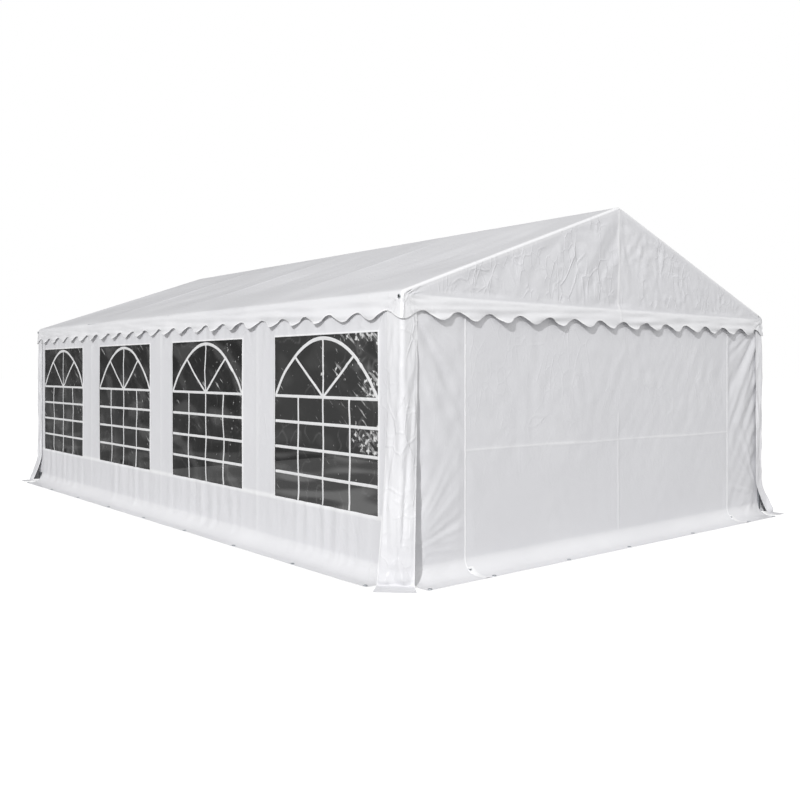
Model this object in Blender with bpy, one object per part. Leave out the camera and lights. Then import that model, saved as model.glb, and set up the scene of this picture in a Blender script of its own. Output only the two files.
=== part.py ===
"""A party marquee of 5 by 8 metres: a frame of plugged steel tubes, a roof cover with a scalloped
valance, fabric walls with a ground flap, arched clear windows and a zipped door in each end.

Metres, +Z up. The origin is on the ground at the middle of the plan. The front end, with its
door, faces -Y, and the long walls with the windows face -X and +X.
"""

import math

import bmesh
import bpy
from mathutils import Matrix, Vector

# Driving dimensions of the whole tent
WIDTH = 5.10  # over the roof cover
LENGTH = 8.01  # over the roof cover
EAVE_HEIGHT = 2.125
RIDGE_HEIGHT = 3.025
BAYS = 4
BAY = 2.0  # pitch of the windows along a long wall

# Fabric, drawn thicker than the real coated cloth so that it is a solid
FABRIC = 0.004
GAP = 0.0005  # between sheets that lie on each other
LAYER = FABRIC + GAP

# Valance: the hanging edge of the roof cover, with a lobe at each corner
VALANCE_LOBE = 1.92
VALANCE_NOTCH = 2.003
SIDE_LOBES = 23
END_LOBES = 15
LOBE_STEPS = 8

# Walls
WALL_TOP = 2.065
FLARE_RADIUS = 0.13
FLARE_STEPS = 6
FLAP_WIDTH = 0.215
FLAP_SHORT_OF_CORNER = 0.15
DOOR_HALF_WIDTH = 1.88
DOOR_TOP = 1.965

# Windows
WINDOW_WIDTH = 1.432
WINDOW_BOTTOM = 0.469
WINDOW_TOP = 1.836

# Corner strips: the cloth that covers each corner post and flares to the ground
STRIP_ON_SIDE = 0.28
STRIP_ON_END = 0.145
STRIP_TOP = 2.0
STRIP_FLARE = 0.36
STRIP_BEND = 0.03
STRIP_FOOT_SIDE = (2.80, 3.975)
STRIP_FOOT_END = (2.565, 4.185)
STRIP_SIDE_STEPS = 3
STRIP_BEND_STEPS = 4
STRIP_FLARE_STEPS = 8

# Frame
TUBE_RADIUS = 0.021
SLEEVE_RADIUS = 0.024
SLEEVE_REACH = 0.16  # long enough for a rafter to clear the gable rail that it leans over
TUBE_SIDES = 12
PLATE_SIZE = 0.13
PLATE_THICKNESS = 0.005
PEG_HOLE_RADIUS = 0.006
PEG_HOLE_SIDES = 12
JOINT_GAP = 0.0003
CUTTER_MARGIN = 0.1  # how far a cutting shape reaches past what it cuts

# Planes worked out from the layers, from the outside in
COVER_X = WIDTH / 2
COVER_Y = LENGTH / 2
STRIP_X = COVER_X - LAYER
STRIP_Y = COVER_Y - LAYER
WALL_X = STRIP_X - LAYER
WALL_Y = STRIP_Y - LAYER
SIDE_WALL_REACH = STRIP_Y - STRIP_BEND - GAP
END_WALL_REACH = STRIP_X - STRIP_BEND - GAP
POST_X = WALL_X - LAYER - SLEEVE_RADIUS
POST_Y = WALL_Y - LAYER - SLEEVE_RADIUS

# Roof slope and the heights of the tubes under it
PITCH = math.atan2(RIDGE_HEIGHT - EAVE_HEIGHT, COVER_X)
TUBE_DEPTH = (LAYER + SLEEVE_RADIUS) / math.cos(PITCH)
RIDGE_Z = RIDGE_HEIGHT - TUBE_DEPTH
RAIL_Z = RIDGE_HEIGHT - POST_X * math.tan(PITCH) - TUBE_DEPTH
PORTAL_YS = [POST_Y * (2 * i / BAYS - 1) for i in range(BAYS + 1)]
WINDOW_YS = [BAY * (i + 0.5 - BAYS / 2) for i in range(BAYS)]

SIDES = {"left": -1, "right": 1}
ENDS = {"front": -1, "rear": 1}


def material(name, colour, roughness, metallic=0.0, alpha=1.0):
    """A plain Principled finish."""
    made = bpy.data.materials.new(name)
    made.use_nodes = True
    shader = made.node_tree.nodes["Principled BSDF"]
    shader.inputs["Base Color"].default_value = (*colour, 1.0)
    shader.inputs["Roughness"].default_value = roughness
    shader.inputs["Metallic"].default_value = metallic
    shader.inputs["Alpha"].default_value = alpha
    made.diffuse_color = (*colour, alpha)
    return made


def new_object(name, bm, finish):
    """Puts a bmesh in the scene as a named object, with its normals facing out."""
    bm.normal_update()
    bmesh.ops.recalc_face_normals(bm, faces=bm.faces)
    mesh = bpy.data.meshes.new(name)
    bm.to_mesh(mesh)
    bm.free()
    made = bpy.data.objects.new(name, mesh)
    bpy.context.scene.collection.objects.link(made)
    made.data.materials.append(finish)
    return made


def tube(name, start, end, radius, finish, sides=TUBE_SIDES):
    """A round bar from one point to another."""
    start = Vector(start)
    run = Vector(end) - start
    bm = bmesh.new()
    bmesh.ops.create_cone(
        bm, cap_ends=True, segments=sides, radius1=radius, radius2=radius, depth=run.length
    )
    turn = run.to_track_quat("Z", "Y").to_matrix().to_4x4()
    bm.transform(Matrix.Translation(start + run / 2) @ turn)
    made = new_object(name, bm, finish)
    made.data.shade_smooth()
    made.data.set_sharp_from_angle(angle=math.radians(40))
    return made


def block(name, low, high, finish):
    """A box between two corners."""
    low, high = Vector(low), Vector(high)
    bm = bmesh.new()
    bmesh.ops.create_cube(bm, size=1.0)
    bm.transform(Matrix.Translation((low + high) / 2) @ Matrix.Diagonal((*(high - low), 1.0)))
    return new_object(name, bm, finish)


def prism(name, outline, extrusion, finish):
    """A flat outline of 3-D points, extruded along a vector."""
    bm = bmesh.new()
    face = bm.faces.new([bm.verts.new(point) for point in outline])
    grown = bmesh.ops.extrude_face_region(bm, geom=[face])
    moved = [v for v in grown["geom"] if isinstance(v, bmesh.types.BMVert)]
    bmesh.ops.translate(bm, verts=moved, vec=extrusion)
    return new_object(name, bm, finish)


def helper(made):
    """Marks an object as a cutter or an operand, which is no piece of the tent."""
    made.hide_render = True
    made.display_type = "WIRE"
    return made


def combine(target, operation, others):
    """Joins others to target, or cuts them from it, in one exact Boolean."""
    group = bpy.data.collections.new(target.name + "_" + operation.lower())
    bpy.context.scene.collection.children.link(group)
    for other in others:
        bpy.context.scene.collection.objects.unlink(helper(other))
        group.objects.link(other)
    boolean = target.modifiers.new(operation.title(), "BOOLEAN")
    boolean.operation = operation
    boolean.operand_type = "COLLECTION"
    boolean.collection = group


def lobed_edge(start, end, lobes):
    """Positions and heights along the valance's lower edge, which is low at both ends."""
    middle = (VALANCE_NOTCH + VALANCE_LOBE) / 2
    swing = (VALANCE_NOTCH - VALANCE_LOBE) / 2
    steps = lobes * LOBE_STEPS
    return [
        (start + (end - start) * i / steps, middle - swing * math.cos(2 * math.pi * i / LOBE_STEPS))
        for i in range(steps + 1)
    ]


def wall_profile(top):
    """A wall's section as (distance out from the wall's outer plane, height): down the outside,
    round the flare, along the ground flap and back up the inside."""
    inner_radius = FLARE_RADIUS
    outer_radius = FLARE_RADIUS - FABRIC
    centre = Vector((FLARE_RADIUS - FABRIC, FLARE_RADIUS))
    arc = [math.pi / 2 * i / FLARE_STEPS for i in range(FLARE_STEPS + 1)]
    outer = [centre - outer_radius * Vector((math.cos(a), math.sin(a))) for a in arc]
    inner = [centre - inner_radius * Vector((math.cos(a), math.sin(a))) for a in arc]
    section = [Vector((0, top)), *outer, Vector((FLAP_WIDTH, FABRIC))]
    return section + [Vector((FLAP_WIDTH, 0)), *reversed(inner), Vector((-FABRIC, top))]


def sleeve_span(y):
    """Where a rail's sleeve over the portal at y starts and ends. An end portal has half a sleeve."""
    low = max(y - SLEEVE_REACH, -POST_Y - SLEEVE_RADIUS)
    high = min(y + SLEEVE_REACH, POST_Y + SLEEVE_RADIUS)
    return low, high


def build_frame(steel):
    """Posts, rafters and rails. The rails carry the sleeves that the other tubes plug into."""
    up_slope = Vector((math.cos(PITCH), 0, math.sin(PITCH)))
    ridge = Vector((0, 0, RIDGE_Z))
    for side, sign in SIDES.items():
        slope = Vector((-sign * up_slope.x, 0, up_slope.z))
        rail = tube(
            f"eave_rail_{side}",
            (sign * POST_X, -POST_Y, RAIL_Z),
            (sign * POST_X, POST_Y, RAIL_Z),
            TUBE_RADIUS,
            steel,
        )
        sleeves = []
        for number, y in enumerate(PORTAL_YS, start=1):
            knee = Vector((sign * POST_X, y, RAIL_Z))
            low_y, high_y = sleeve_span(y)
            arms = [
                (Vector((knee.x, low_y, knee.z)), Vector((knee.x, high_y, knee.z))),
                (knee, knee - Vector((0, 0, SLEEVE_REACH))),
                (knee, knee + slope * SLEEVE_REACH),
            ]
            if number in (1, len(PORTAL_YS)):
                arms.append((knee, knee - Vector((sign * SLEEVE_REACH, 0, 0))))
            for arm, (start, end) in enumerate(arms):
                name = f"eave_sleeve_{side}_{number}_{arm}"
                sleeves.append(tube(name, start, end, SLEEVE_RADIUS, steel))
            build_post(f"post_{side}_{number}", sign, y, steel)
            tube(
                f"rafter_{side}_{number}",
                knee + slope * (SLEEVE_REACH + JOINT_GAP),
                Vector((0, y, RIDGE_Z)) - slope * (SLEEVE_REACH + JOINT_GAP),
                TUBE_RADIUS,
                steel,
            )
        combine(rail, "UNION", sleeves)
    build_ridge(ridge, up_slope, steel)
    for end, sign in ENDS.items():
        reach = POST_X - SLEEVE_REACH - JOINT_GAP
        y = sign * POST_Y
        tube(f"gable_rail_{end}", (-reach, y, RAIL_Z), (reach, y, RAIL_Z), TUBE_RADIUS, steel)


def build_ridge(ridge, up_slope, steel):
    """The ridge tube with a sleeve for each rafter."""
    along = Vector((0, POST_Y, 0))
    rail = tube("ridge_rail", ridge - along, ridge + along, TUBE_RADIUS, steel)
    sleeves = []
    for number, y in enumerate(PORTAL_YS, start=1):
        low_y, high_y = sleeve_span(y)
        top = Vector((0, y, RIDGE_Z))
        arms = [(Vector((0, low_y, RIDGE_Z)), Vector((0, high_y, RIDGE_Z)))]
        for sign in SIDES.values():
            arms.append((top, top + SLEEVE_REACH * Vector((sign * up_slope.x, 0, -up_slope.z))))
        for arm, (start, end) in enumerate(arms):
            sleeves.append(tube(f"ridge_sleeve_{number}_{arm}", start, end, SLEEVE_RADIUS, steel))
    combine(rail, "UNION", sleeves)


def build_post(name, sign, y, steel):
    """A post with its foot plate, which reaches inwards so that it stays off the walls."""
    x = sign * POST_X
    inwards = -1 if y > 0 else 1
    shift = (PLATE_SIZE / 2 - TUBE_RADIUS) * inwards if abs(y) > POST_Y - TUBE_RADIUS else 0.0
    middle = Vector((x - sign * (PLATE_SIZE / 2 - TUBE_RADIUS), y + shift, 0))
    half = Vector((PLATE_SIZE / 2, PLATE_SIZE / 2, 0))
    post = tube(
        name,
        (x, y, PLATE_THICKNESS / 2),
        (x, y, RAIL_Z - SLEEVE_REACH - JOINT_GAP),
        TUBE_RADIUS,
        steel,
    )
    plate = block(
        f"{name}_plate", middle - half, middle + half + Vector((0, 0, PLATE_THICKNESS)), steel
    )
    combine(post, "UNION", [plate])
    inset = PLATE_SIZE / 2 - 3 * PEG_HOLE_RADIUS
    holes = []
    for corner in (-1, 1):
        hole = Vector((middle.x - sign * inset, middle.y + corner * inset, 0))
        holes.append(
            tube(
                f"{name}_hole_{corner}",
                hole - Vector((0, 0, PLATE_THICKNESS)),
                hole + Vector((0, 0, 2 * PLATE_THICKNESS)),
                PEG_HOLE_RADIUS,
                steel,
                PEG_HOLE_SIDES,
            )
        )
    combine(post, "DIFFERENCE", holes)


def build_roof(cloth):
    """The two slopes with their valances, and the two gables with theirs."""
    drop = FABRIC / math.cos(PITCH)
    slope = math.tan(PITCH)
    inner_x = COVER_X - FABRIC
    for side, sign in SIDES.items():
        section = [
            (GAP / 2, RIDGE_HEIGHT - slope * GAP / 2),
            (COVER_X, EAVE_HEIGHT),
            (COVER_X, VALANCE_LOBE - JOINT_GAP),
            (inner_x, VALANCE_LOBE - JOINT_GAP),
            (inner_x, RIDGE_HEIGHT - slope * inner_x - drop),
            (GAP / 2, RIDGE_HEIGHT - slope * GAP / 2 - drop),
        ]
        outline = [(sign * x, -COVER_Y, z) for x, z in section]
        roof = prism(f"roof_{side}", outline, (0, LENGTH, 0), cloth)
        edge = lobed_edge(-COVER_Y, COVER_Y, SIDE_LOBES)
        past_ends = COVER_Y + CUTTER_MARGIN
        below = VALANCE_LOBE - CUTTER_MARGIN
        scallops = [(-past_ends, below), (-past_ends, VALANCE_LOBE), *edge]
        scallops += [(past_ends, VALANCE_LOBE), (past_ends, below)]
        start = sign * (inner_x - CUTTER_MARGIN)
        cutter = prism(
            f"scallops_{side}",
            [(start, y, z) for y, z in scallops],
            (sign * (FABRIC + 2 * CUTTER_MARGIN), 0, 0),
            cloth,
        )
        combine(roof, "DIFFERENCE", [cutter])
    for end, sign in ENDS.items():
        half = COVER_X - LAYER
        shoulder = RIDGE_HEIGHT - slope * half - drop - GAP
        apex = RIDGE_HEIGHT - drop - GAP
        y = sign * COVER_Y
        outline = [(x, y, z) for x, z in lobed_edge(-half, half, END_LOBES)]
        outline += [(half, y, shoulder), (0, y, apex), (-half, y, shoulder)]
        prism(f"gable_{end}", outline, (0, -sign * FABRIC, 0), cloth)


def build_side_walls(cloth, clear):
    """The long walls with their window openings, and a clear pane in each."""
    for side, sign in SIDES.items():
        outline = [(sign * (WALL_X + p.x), -SIDE_WALL_REACH, p.y) for p in wall_profile(WALL_TOP)]
        wall = prism(f"wall_{side}", outline, (0, 2 * SIDE_WALL_REACH, 0), cloth)
        cutters = []
        low_x, high_x = sorted((sign * (WALL_X - FABRIC), sign * WALL_X))
        for number, y in enumerate(WINDOW_YS, start=1):
            low_y, high_y = y - WINDOW_WIDTH / 2, y + WINDOW_WIDTH / 2
            opening = block(
                f"window_opening_{side}_{number}",
                (low_x - CUTTER_MARGIN, low_y, WINDOW_BOTTOM),
                (high_x + CUTTER_MARGIN, high_y, WINDOW_TOP),
                cloth,
            )
            cutters.append(opening)
            block(
                f"window_{side}_{number}",
                (low_x, low_y + GAP, WINDOW_BOTTOM + GAP),
                (high_x, high_y - GAP, WINDOW_TOP - GAP),
                clear,
            )
        low_x, high_x = sorted((sign * (WALL_X + GAP), sign * (WALL_X + FLAP_WIDTH + CUTTER_MARGIN)))
        for end, toward in ENDS.items():
            flap_end = WALL_Y - FLAP_SHORT_OF_CORNER
            low_y, high_y = sorted((toward * flap_end, toward * (WALL_Y + CUTTER_MARGIN)))
            low, high = (low_x, low_y, -CUTTER_MARGIN), (high_x, high_y, FLARE_RADIUS)
            cutters.append(block(f"flap_end_{side}_{end}", low, high, cloth))
        combine(wall, "DIFFERENCE", cutters)


def build_end_walls(cloth):
    """The end walls: two side panels joined over the doorway, and the zipped door between them."""
    past_flap = WALL_Y + FLAP_WIDTH + CUTTER_MARGIN
    for end, sign in ENDS.items():
        outline = [(-END_WALL_REACH, sign * (WALL_Y + p.x), p.y) for p in wall_profile(WALL_TOP)]
        wall = prism(f"end_wall_{end}", outline, (2 * END_WALL_REACH, 0, 0), cloth)
        low_y, high_y = sorted((sign * (WALL_Y - CUTTER_MARGIN), sign * past_flap))
        low, high = (-DOOR_HALF_WIDTH, low_y, -CUTTER_MARGIN), (DOOR_HALF_WIDTH, high_y, DOOR_TOP)
        cutters = [block(f"doorway_{end}", low, high, cloth)]
        low_y, high_y = sorted((sign * (WALL_Y + GAP), sign * past_flap))
        for side, toward in SIDES.items():
            flap_end = END_WALL_REACH - FLAP_SHORT_OF_CORNER
            low_x, high_x = sorted((toward * flap_end, toward * (WALL_X + CUTTER_MARGIN)))
            low, high = (low_x, low_y, -CUTTER_MARGIN), (high_x, high_y, FLARE_RADIUS)
            cutters.append(block(f"flap_end_{end}_{side}", low, high, cloth))
        combine(wall, "DIFFERENCE", cutters)
        reach = DOOR_HALF_WIDTH - GAP
        outline = [(-reach, sign * (WALL_Y + p.x), p.y) for p in wall_profile(DOOR_TOP - GAP)]
        prism(f"door_{end}", outline, (2 * reach, 0, 0), cloth)


def strip_section():
    """Plan of a corner strip in the corner where x and y are positive, from the long wall round
    the post to the end wall."""
    bend = [math.pi / 2 * i / STRIP_BEND_STEPS for i in range(STRIP_BEND_STEPS + 1)]
    centre = Vector((STRIP_X - STRIP_BEND, STRIP_Y - STRIP_BEND))
    run = (STRIP_ON_SIDE - STRIP_BEND) / STRIP_SIDE_STEPS
    side = [
        Vector((STRIP_X, STRIP_Y - STRIP_ON_SIDE + run * i)) for i in range(STRIP_SIDE_STEPS)
    ]
    corner = [centre + STRIP_BEND * Vector((math.cos(a), math.sin(a))) for a in bend]
    end = [Vector((STRIP_X - STRIP_ON_END, STRIP_Y))]
    return side + corner + end


def build_corner_strips(cloth):
    """The cloth over each corner post: an angle at the top, which flares to one straight foot."""
    section = strip_section()
    lengths = [0.0]
    for a, b in zip(section, section[1:]):
        lengths.append(lengths[-1] + (b - a).length)
    foot_side, foot_end = Vector(STRIP_FOOT_SIDE), Vector(STRIP_FOOT_END)
    feet = [foot_side.lerp(foot_end, s / lengths[-1]) for s in lengths]
    rows = [[(p.x, p.y, STRIP_TOP) for p in section]]
    for i in range(STRIP_FLARE_STEPS + 1):
        turn = math.pi / 2 * i / STRIP_FLARE_STEPS
        height = STRIP_FLARE - (STRIP_FLARE - FABRIC) * math.sin(turn)
        out = 1 - math.cos(turn)
        rows.append([(*p.lerp(foot, out), height) for p, foot in zip(section, feet)])
    for end, y_sign in ENDS.items():
        for side, x_sign in SIDES.items():
            bm = bmesh.new()
            grid = [[bm.verts.new((x_sign * x, y_sign * y, z)) for x, y, z in row] for row in rows]
            for upper, lower in zip(grid, grid[1:]):
                for i in range(len(upper) - 1):
                    bm.faces.new((upper[i], upper[i + 1], lower[i + 1], lower[i]))
            bm.normal_update()
            bmesh.ops.recalc_face_normals(bm, faces=bm.faces)
            outward = Vector((x_sign, y_sign, 0))
            if sum((f.normal.dot(outward) * f.calc_area() for f in bm.faces)) < 0:
                bmesh.ops.reverse_faces(bm, faces=bm.faces)
            mesh = bpy.data.meshes.new(f"corner_strip_{end}_{side}")
            bm.to_mesh(mesh)
            bm.free()
            strip = bpy.data.objects.new(mesh.name, mesh)
            bpy.context.scene.collection.objects.link(strip)
            strip.data.materials.append(cloth)
            thickness = strip.modifiers.new("Solidify", "SOLIDIFY")
            thickness.thickness = FABRIC
            thickness.offset = -1.0
            thickness.use_even_offset = True


for leftover in list(bpy.data.objects):
    bpy.data.objects.remove(leftover)

galvanised_steel = material("galvanised_steel", (0.62, 0.64, 0.65), 0.4, metallic=1.0)
white_cloth = material("white_coated_cloth", (0.86, 0.86, 0.87), 0.38)
clear_film = material("clear_film", (0.10, 0.10, 0.105), 0.12, alpha=0.6)

build_frame(galvanised_steel)
build_roof(white_cloth)
build_side_walls(white_cloth, clear_film)
build_end_walls(white_cloth)
build_corner_strips(white_cloth)
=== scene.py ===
"""Looks of the party marquee: its coated cloth, clear windows, zips and steel frame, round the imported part.

Metres, in the part's own frame: the origin is on the ground at the middle of the plan, the front end faces -Y
and the left long wall faces -X.
"""

import bpy
import numpy as np
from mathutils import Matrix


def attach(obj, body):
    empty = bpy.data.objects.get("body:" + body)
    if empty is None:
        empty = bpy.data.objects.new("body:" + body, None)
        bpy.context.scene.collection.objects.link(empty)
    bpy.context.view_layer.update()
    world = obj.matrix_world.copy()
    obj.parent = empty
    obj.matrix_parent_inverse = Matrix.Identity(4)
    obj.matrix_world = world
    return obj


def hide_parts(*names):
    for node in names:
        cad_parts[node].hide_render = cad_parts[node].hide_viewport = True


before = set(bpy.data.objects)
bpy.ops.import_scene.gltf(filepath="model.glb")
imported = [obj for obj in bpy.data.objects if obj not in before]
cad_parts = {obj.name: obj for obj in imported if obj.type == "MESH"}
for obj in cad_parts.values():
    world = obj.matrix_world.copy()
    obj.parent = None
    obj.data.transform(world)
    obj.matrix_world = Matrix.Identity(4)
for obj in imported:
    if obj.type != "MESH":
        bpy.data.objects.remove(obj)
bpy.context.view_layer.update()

# The view: a level camera at eye height off the front left corner, as the photograph was taken. Its lens follows
# from the focal length fitted to the tent's corners, and the shift puts the horizon at its own row of the picture.
PICTURE_SIZE = 800
FOCAL_PIXELS = 882.0
HORIZON_ROW = 370.67
EYE = (-6.592, -8.832, 1.55)
HEADING = 0.6949  # radians from +Y towards +X
SENSOR = 36.0  # millimetres

camera = bpy.data.objects.new("camera", bpy.data.cameras.new("camera"))
camera.data.sensor_width = SENSOR
camera.data.lens = FOCAL_PIXELS / PICTURE_SIZE * SENSOR
camera.data.shift_y = (HORIZON_ROW - PICTURE_SIZE / 2) / PICTURE_SIZE
camera.location = EYE
camera.rotation_euler = (np.pi / 2, 0.0, -HEADING)
bpy.context.scene.collection.objects.link(camera)
bpy.context.scene.camera = camera


# Frame: round steel tube, hot-dip galvanised, plugged together at welded sleeves. Zinc gives a dull bright grey
# with a faint patchwork of crystals.
SPANGLE = 0.012  # width of a zinc crystal
ZINC_LIGHT, ZINC_DARK = "#C9CDD0", "#A9AEB2"


def linear(hex_colour):
    """Linear red, green, blue and alpha of an sRGB hex colour, by the sRGB curve."""
    channels = np.array([int(hex_colour[i : i + 2], 16) for i in (1, 3, 5)]) / 255
    curve = np.where(channels <= 0.04045, channels / 12.92, ((channels + 0.055) / 1.055) ** 2.4)
    return (*curve.tolist(), 1.0)


def add_node(tree, kind, inputs=None, **settings):
    """Adds one shader node. Settings are its own properties. Inputs are values to set or outputs to link."""
    made = tree.nodes.new(kind)
    for name, value in settings.items():
        setattr(made, name, value)
    for socket, value in (inputs or {}).items():
        if isinstance(value, bpy.types.NodeSocket):
            tree.links.new(value, made.inputs[socket])
        else:
            made.inputs[socket].default_value = value
    return made


def blend(tree, share, low, high):
    """A colour between two hex colours by a share."""
    ends = {"A": linear(low), "B": linear(high), "Factor": share}
    return add_node(tree, "ShaderNodeMix", ends, data_type="RGBA").outputs["Result"]


def remap(tree, value, from_min, from_max, to_min, to_max):
    """A value carried from one range to another and held at its ends."""
    ranges = {"Value": value, "From Min": from_min, "From Max": from_max, "To Min": to_min, "To Max": to_max}
    return add_node(tree, "ShaderNodeMapRange", ranges).outputs["Result"]


def new_material(name, **finish):
    """A Principled material, its tree, its shader and object coordinates, with constants on the shader's sockets."""
    made = bpy.data.materials.new(name)
    made.use_nodes = True
    shader = made.node_tree.nodes["Principled BSDF"]
    for socket, value in finish.items():
        shader.inputs[socket.replace("_", " ")].default_value = value
    place = add_node(made.node_tree, "ShaderNodeTexCoord").outputs["Object"]
    return made, made.node_tree, shader, place


def galvanised_steel():
    """Zinc on steel tube: a metal of middling roughness, patched by its crystals."""
    made, tree, shader, place = new_material("galvanised_steel", Metallic=1.0)
    crystals = add_node(tree, "ShaderNodeTexVoronoi", {"Vector": place, "Scale": 1 / SPANGLE})
    tree.links.new(blend(tree, crystals.outputs["Color"], ZINC_DARK, ZINC_LIGHT), shader.inputs["Base Color"])
    tree.links.new(remap(tree, crystals.outputs["Distance"], 0, 1, 0.32, 0.5), shader.inputs["Roughness"])
    return made


steel = galvanised_steel()
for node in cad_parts:
    if node.startswith(("post_", "rafter_", "eave_rail_", "ridge_rail", "gable_rail_")):
        cad_node = bpy.data.objects[node]
        cad_node.data.materials.clear()
        cad_node.data.materials.append(steel)


# Roof cover: one sheet of white coated cloth over the ridge and both eaves, which ends in a scalloped valance.
# It is pulled tight over the rafters, sags a little between them, and bends round the eave tubes.
COVER_X, COVER_Y = 2.55, 4.005
EAVE_Z, RIDGE_Z = 2.125, 3.025
PITCH = np.arctan2(RIDGE_Z - EAVE_Z, COVER_X)
SLOPE = np.tan(PITCH)
EAVE_BEND = 0.065
EAVE_BEND_X = COVER_X - EAVE_BEND
EAVE_BEND_Z = RIDGE_Z - SLOPE * EAVE_BEND_X - EAVE_BEND / np.cos(PITCH)
RIDGE_BEND = 0.018
EDGE_BEND = 0.02  # radius at the rakes and at the upright corner edges
VALANCE_TOP = 2.078
VALANCE_LOBE, VALANCE_NOTCH = 1.925, 1.99
SIDE_LOBES, END_LOBES = 23, 15
SIDE_FLARE, END_FLARE = 0.03, 0.019
CORNER_FLARE = 0.3  # share of the flare that is left at the sewn corners
PORTAL_YS = 3.9675 * np.linspace(-1, 1, 5)
BAY = 1.98375
SLOPE_SAG = 0.045
CLOTH_SINGLE, CLOTH_DOUBLE = "#D6D6D9", "#EEEEEF"
THREAD = 0.006  # the cloth's threads are about 1 mm apart, drawn coarser so that they show


def hashed(column, row, seed):
    """A repeatable number from -1 to 1 for each whole-number point: products with large primes, mixed by shifts."""
    mixed = (column.astype(np.int64) * 374761393 + row.astype(np.int64) * 668265263 + seed * 974634777) & 0xFFFFFFFF
    mixed = ((mixed ^ (mixed >> 13)) * 1274126177) & 0xFFFFFFFF
    return ((mixed ^ (mixed >> 16)) & 0xFFFF) / 32767.5 - 1.0


def noise(u, v, seed):
    """Smooth noise from about -1 to 1. Each whole-number point has a random slope, and between four of them the
    slopes blend by 6t^5 - 15t^4 + 10t^3 both ways."""
    u, v = np.broadcast_arrays(np.asarray(u, float), np.asarray(v, float))
    column, row = np.floor(u), np.floor(v)
    across, up = u - column, v - row
    blend_u, blend_v = (t**3 * (t * (6 * t - 15) + 10) for t in (across, up))

    def pull(i, j):
        turn = np.pi * hashed(column + i, row + j, seed)
        return np.cos(turn) * (across - i) + np.sin(turn) * (up - j)

    low = pull(0, 0) + blend_u * (pull(1, 0) - pull(0, 0))
    high = pull(0, 1) + blend_u * (pull(1, 1) - pull(0, 1))
    return 1.5 * (low + blend_v * (high - low))


def smooth_step(low, high, value):
    """0 at low, 1 at high, and 3t^2 - 2t^3 between."""
    t = np.clip((value - low) / (high - low), 0, 1)
    return t * t * (3 - 2 * t)


def bump(distance, width):
    """A round ridge: exp(-(distance / width)^2)."""
    return np.exp(-((distance / width) ** 2))


def creases(u, v, seed):
    """Winding sharp folds of crushed cloth, 0 to 1: noise folded at zero, (1 - |noise|)^3, in three finer and
    weaker layers whose lines are bent by slower noise."""
    u = u + 0.35 * noise(0.7 * u, 0.7 * v, seed + 7)
    v = v + 0.35 * noise(0.7 * u, 0.7 * v, seed + 8)
    layers = [(1.0, 1.0), (0.45, 2.1), (0.2, 4.3)]
    return sum(w * (1 - np.abs(noise(f * u, f * v, seed + i))) ** 3 for i, (w, f) in enumerate(layers)) / 1.65


def store_folds(u, v, seed, ways=5):
    """Straight short folds of cloth that was packed away, about -0.5 to 0.5: triangle waves 2|t - round(t)| across
    several directions, bent a little, each showing only where slow noise is high."""
    total = 0
    for way in range(ways):
        turn = np.pi * (way + 0.37) / ways
        t = u * np.cos(turn) + v * np.sin(turn) + 0.4 * noise(0.5 * u, 0.5 * v, seed + way)
        shown = smooth_step(-0.05, 0.45, noise(0.45 * u + 9 * way, 0.45 * v, seed + 20 + way))
        total = total + shown * (2 * np.abs(t - np.round(t)) - 0.5)
    return total


def new_piece(name, points, material, tone=0.0, keep=None, outwards=True, crumple=0.3):
    """A sheet from a grid of points, rows by columns by xyz. Each cell is a face, apart from those that keep
    leaves out. Tone and crumple, 0 to 1, are values at each point that the material reads."""
    rows, columns = points.shape[:2]
    index = np.arange(rows * columns).reshape(rows, columns)
    faces = np.stack([index[:-1, :-1], index[:-1, 1:], index[1:, 1:], index[1:, :-1]], axis=-1)
    faces = faces.reshape(-1, 4) if keep is None else faces[keep]
    used, faces = np.unique(faces, return_inverse=True)
    faces = faces.reshape(-1, 4)
    mesh = bpy.data.meshes.new(name)
    mesh.from_pydata(points.reshape(-1, 3)[used], [], faces if outwards else faces[:, ::-1])
    for label, value in (("tone", tone), ("crumple", crumple)):
        values = np.broadcast_to(value, (rows, columns)).reshape(-1)[used].astype(np.float32)
        mesh.attributes.new(label, "FLOAT", "POINT").data.foreach_set("value", values)
    mesh.shade_smooth()
    mesh.materials.append(material)
    made = bpy.data.objects.new(name, mesh)
    bpy.context.scene.collection.objects.link(made)
    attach(made, "root")
    return made


def ribbon(name, runs, material, tone=1.0, outwards=True, crumple=0.0):
    """Strips in one mesh. Each run is a grid of points, rows along it and columns across, and all have as many
    columns. The end of one run isn't joined to the next."""
    points = np.concatenate(runs)
    ends = np.cumsum([len(run) for run in runs])[:-1]
    keep = np.ones((len(points) - 1, points.shape[1] - 1), bool)
    keep[ends - 1] = False
    return new_piece(name, points, material, tone, keep, outwards, crumple)


def product(tree, *factors):
    """The factors multiplied together."""
    total = factors[0]
    for factor in factors[1:]:
        total = add_node(tree, "ShaderNodeMath", {0: total, 1: factor}, operation="MULTIPLY").outputs[0]
    return total


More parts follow.
